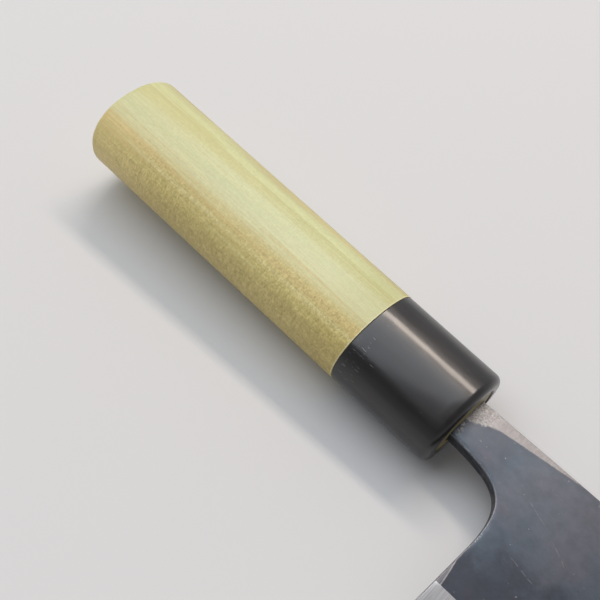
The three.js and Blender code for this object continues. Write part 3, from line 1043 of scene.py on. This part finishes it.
def make_cladding(node, side, seed, materials):
    """One iron layer; side is 1 for the right face and -1 for the left, which is its mirror image."""
    outline, rounded = blade_outline(weld_y)
    ridge = crease(bevel_top_y, heel_x(BEVEL_TOP_Y) + RIDGE_GAP, TIP_X - RIDGE_GAP, FAR_STEP)
    facet = crease(facet_line_y, FACET_GAPS[0], FACET_LENGTH - FACET_GAPS[1], NEAR_STEP)
    heel_low, heel_high = BEVEL_TOP_Y + CHAMFER_GAPS[0], HEEL_CHAMFER_TOP - CHAMFER_GAPS[1]
    heel_rows = np.linspace(heel_low, heel_high, CHAMFER_POINTS)
    chamfer = [Vector((heel_chamfer_x(y), y)) for y in heel_rows]
    creases = [ridge, facet, chamfer]

    def low_at(x, y, away):
        return core_half(x) + WELD_LINE

    def high_at(x, y, away):
        return max(face_height(x, y, away, seed), low_at(x, y, away) + THIN)

    points, faces, kinds = ply(outline, rounded, creases, (NEAR_STEP, FAR_STEP), low_at, high_at)
    scale_index, bevel_index, wall_index = range(3)
    slots = []
    for face, kind in zip(faces, kinds):
        middle = sum((points[i] for i in face), Vector()) / len(face)
        on_bevel = middle.x > HEEL_GAP and middle.y < bevel_top_y(middle.x)
        if kind == WALL:
            slots.append(wall_index)
        else:
            slots.append(bevel_index if on_bevel else scale_index)
    if side < 0:
        points = [Vector((p.x, p.y, -p.z)) for p in points]
        faces = [tuple(reversed(face)) for face in faces]
    cladding = piece(f"{node}_forged", points, faces, BLADE, materials, slots)
    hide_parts(node)


def make_core(materials):
    """Hard steel layer, which comes to the surface along the cutting edge."""
    outline, rounded = blade_outline(edge_y)
    creases = [crease(weld_y, HEEL_GAP + WELD_GAP, TIP_X - RIDGE_GAP, NEAR_STEP)]

    def high_at(x, y, away):
        if x < 0:
            return core_half(x)
        return min(core_half(x), bevel_half(x, y))

    def low_at(x, y, away):
        return -high_at(x, y, away)

    points, faces, kinds = ply(outline, rounded, creases, (FAR_STEP, 2 * FAR_STEP), low_at, high_at)
    edge_index, wall_index = range(2)
    slots = [wall_index if kind == WALL else edge_index for kind in kinds]
    core = piece("core_steel_ground", points, faces, BLADE, materials, slots)
    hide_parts("core_steel")


wall = scale_wall()
bevel = ground_steel("ground_bevel", BEVEL_STEEL, roughness=0.46, lines_x=5.0, lines_y=0.12, depth=0.004)
edge = ground_steel("polished_edge", EDGE_STEEL, roughness=0.43, lines_x=7.0, lines_y=0.15, depth=0.002)
iron = [forge_scale(), bevel, wall]
make_grip(pale_wood(), charred_wood())
make_ferrule(black_horn())
make_cladding("right_cladding", side=1, seed=2.7, materials=iron)
make_cladding("left_cladding", side=-1, seed=31.4, materials=iron)
make_core([edge, wall])


# Floor, light and camera

FLOOR_RADIUS = 6.0
FLOOR_SIDES = 64
FLOOR_COLOUR = (0.63, 0.62, 0.608)
FLOOR_FAR = (100.0, 2800.0)  # millimetres over which the floor leaves the lamps' light
FLOOR_GLOW = 0.5  # what it then shows by itself, so that it meets the horizon's tone
LIGHT_FOCUS = Vector((-20, 0, 0))
ROOM_DARK = (0.2, 0.204, 0.214, 1)
ROOM_BRIGHT = (0.55, 0.55, 0.585, 1)
ROOM_BRIGHT_AT = 0.85  # how far towards the spine's side the room is at its brightest
HORIZON_COLOUR = (0.52, 0.52, 0.52, 1)
HORIZON_FADE = 0.55  # sine of the elevation where the horizon's paleness ends


def make_floor():
    """Plain pale floor, wide enough to reach the horizon."""
    turns = [math.tau * i / FLOOR_SIDES for i in range(FLOOR_SIDES)]
    mesh = bpy.data.meshes.new("floor")
    rim = [(FLOOR_RADIUS * math.cos(t), FLOOR_RADIUS * math.sin(t), 0) for t in turns]
    mesh.from_pydata(rim, [], [tuple(range(FLOOR_SIDES))])
    n = Nodes("floor")
    away = n.node("ShaderNodeVectorMath", {0: n.place})
    away.operation = "LENGTH"
    rays = n.node("ShaderNodeLightPath", {}).outputs
    shown = n.math("MAXIMUM", rays["Is Camera Ray"], rays["Is Glossy Ray"])
    glow = n.math("MULTIPLY", shown, n.share(away.outputs["Value"], *FLOOR_FAR, 0.0, FLOOR_GLOW))
    n.set(Base_Color=(*FLOOR_COLOUR, 1), Roughness=0.8, Specular_IOR_Level=0.1)
    n.set(Emission_Color=(*FLOOR_COLOUR, 1), Emission_Strength=glow)
    mesh.materials.append(n.material)
    floor = bpy.data.objects.new("floor", mesh)
    bpy.context.scene.collection.objects.link(floor)


def area_light(name, direction, distance, length, width, level, colour, twist=0.0):
    """Rectangular lamp aimed at the handle's front, with its length along the handle before the twist.

    direction is in the knife frame. level 1 lights a surface that faces the lamp so that its colour
    shows as it is written.
    """
    towards = (KNIFE.to_3x3() @ Vector(direction)).normalized()
    data = bpy.data.lights.new(name, "AREA")
    data.shape = "RECTANGLE"
    data.size, data.size_y = length, width
    data.energy = level * (math.pi * distance) ** 2
    data.color = colour
    lamp = bpy.data.objects.new(name, data)
    bpy.context.scene.collection.objects.link(lamp)
    along = KNIFE.to_3x3() @ Vector((1, 0, 0))
    side = (along - along.dot(towards) * towards).normalized()
    turn = Matrix((side, towards.cross(side), towards)).transposed()
    place = KNIFE @ (LIGHT_FOCUS * MM) + towards * distance
    lamp.matrix_world = Matrix.Translation(place) @ turn.to_4x4() @ Matrix.Rotation(twist, 4, "Z")


def make_world():
    """Dim room, brighter on the side that the key light comes from and paler towards the horizon."""
    world = bpy.data.worlds.new("studio")
    bpy.context.scene.world = world
    world.use_nodes = True
    tree = world.node_tree
    direction = tree.nodes.new("ShaderNodeTexCoord").outputs["Generated"]
    split = tree.nodes.new("ShaderNodeSeparateXYZ")
    tree.links.new(direction, split.inputs[0])
    room = tree.nodes.new("ShaderNodeValToRGB")
    tree.links.new(split.outputs[1], room.inputs[0])
    dark_side, bright_side = room.color_ramp.elements
    dark_side.position, dark_side.color = 0.0, ROOM_DARK
    bright_side.position, bright_side.color = ROOM_BRIGHT_AT, ROOM_BRIGHT
    height = tree.nodes.new("ShaderNodeMapRange")
    tree.links.new(split.outputs[2], height.inputs[0])
    height.inputs[2].default_value = HORIZON_FADE
    blend = tree.nodes.new("ShaderNodeMix")
    blend.data_type = "RGBA"
    tree.links.new(height.outputs[0], blend.inputs[0])
    blend.inputs[6].default_value = HORIZON_COLOUR
    tree.links.new(room.outputs[0], blend.inputs[7])
    tree.links.new(blend.outputs[2], tree.nodes["Background"].inputs["Color"])


def make_lights():
    """Wide cool lamp overhead and a narrow warm one from the spine's side, in a dim room."""
    area_light(
        "overhead",
        direction=(-0.454, 0.0, 0.89),
        distance=2.2,
        length=1.7,
        width=3.0,
        level=0.82,
        colour=(0.91, 0.96, 1.03),
        twist=math.radians(-11),
    )
    area_light(
        "key",
        direction=(-0.27, 0.59, 0.76),
        distance=2.0,
        length=1.44,
        width=0.22,
        level=0.44,
        colour=(1.0, 0.87, 0.76),
    )
    make_world()


CAMERA_PLACE = Vector((20.21, -105.07, 176.38))
CAMERA_TARGET = Vector((-47.0, -5.74, 0))
CAMERA_ROLL = math.radians(13.52)
FOCAL_PIXELS = 900
FRAME_PIXELS = 600
SENSOR_WIDTH = 36.0
NEAREST = 0.01


def make_camera():
    """Camera at the photograph's angle, given in the knife frame."""
    data = bpy.data.cameras.new("camera")
    data.sensor_width = SENSOR_WIDTH
    data.lens = SENSOR_WIDTH * FOCAL_PIXELS / FRAME_PIXELS
    data.clip_start = NEAREST
    camera = bpy.data.objects.new("camera", data)
    bpy.context.scene.collection.objects.link(camera)
    aim = (CAMERA_TARGET - CAMERA_PLACE).to_track_quat("-Z", "Y").to_matrix().to_4x4()
    place = Matrix.Translation(CAMERA_PLACE * MM) @ aim @ Matrix.Rotation(CAMERA_ROLL, 4, "Z")
    camera.matrix_world = KNIFE @ place
    bpy.context.scene.camera = camera


make_floor()
make_lights()
make_camera()
bpy.context.scene.view_settings.view_transform = "Standard"
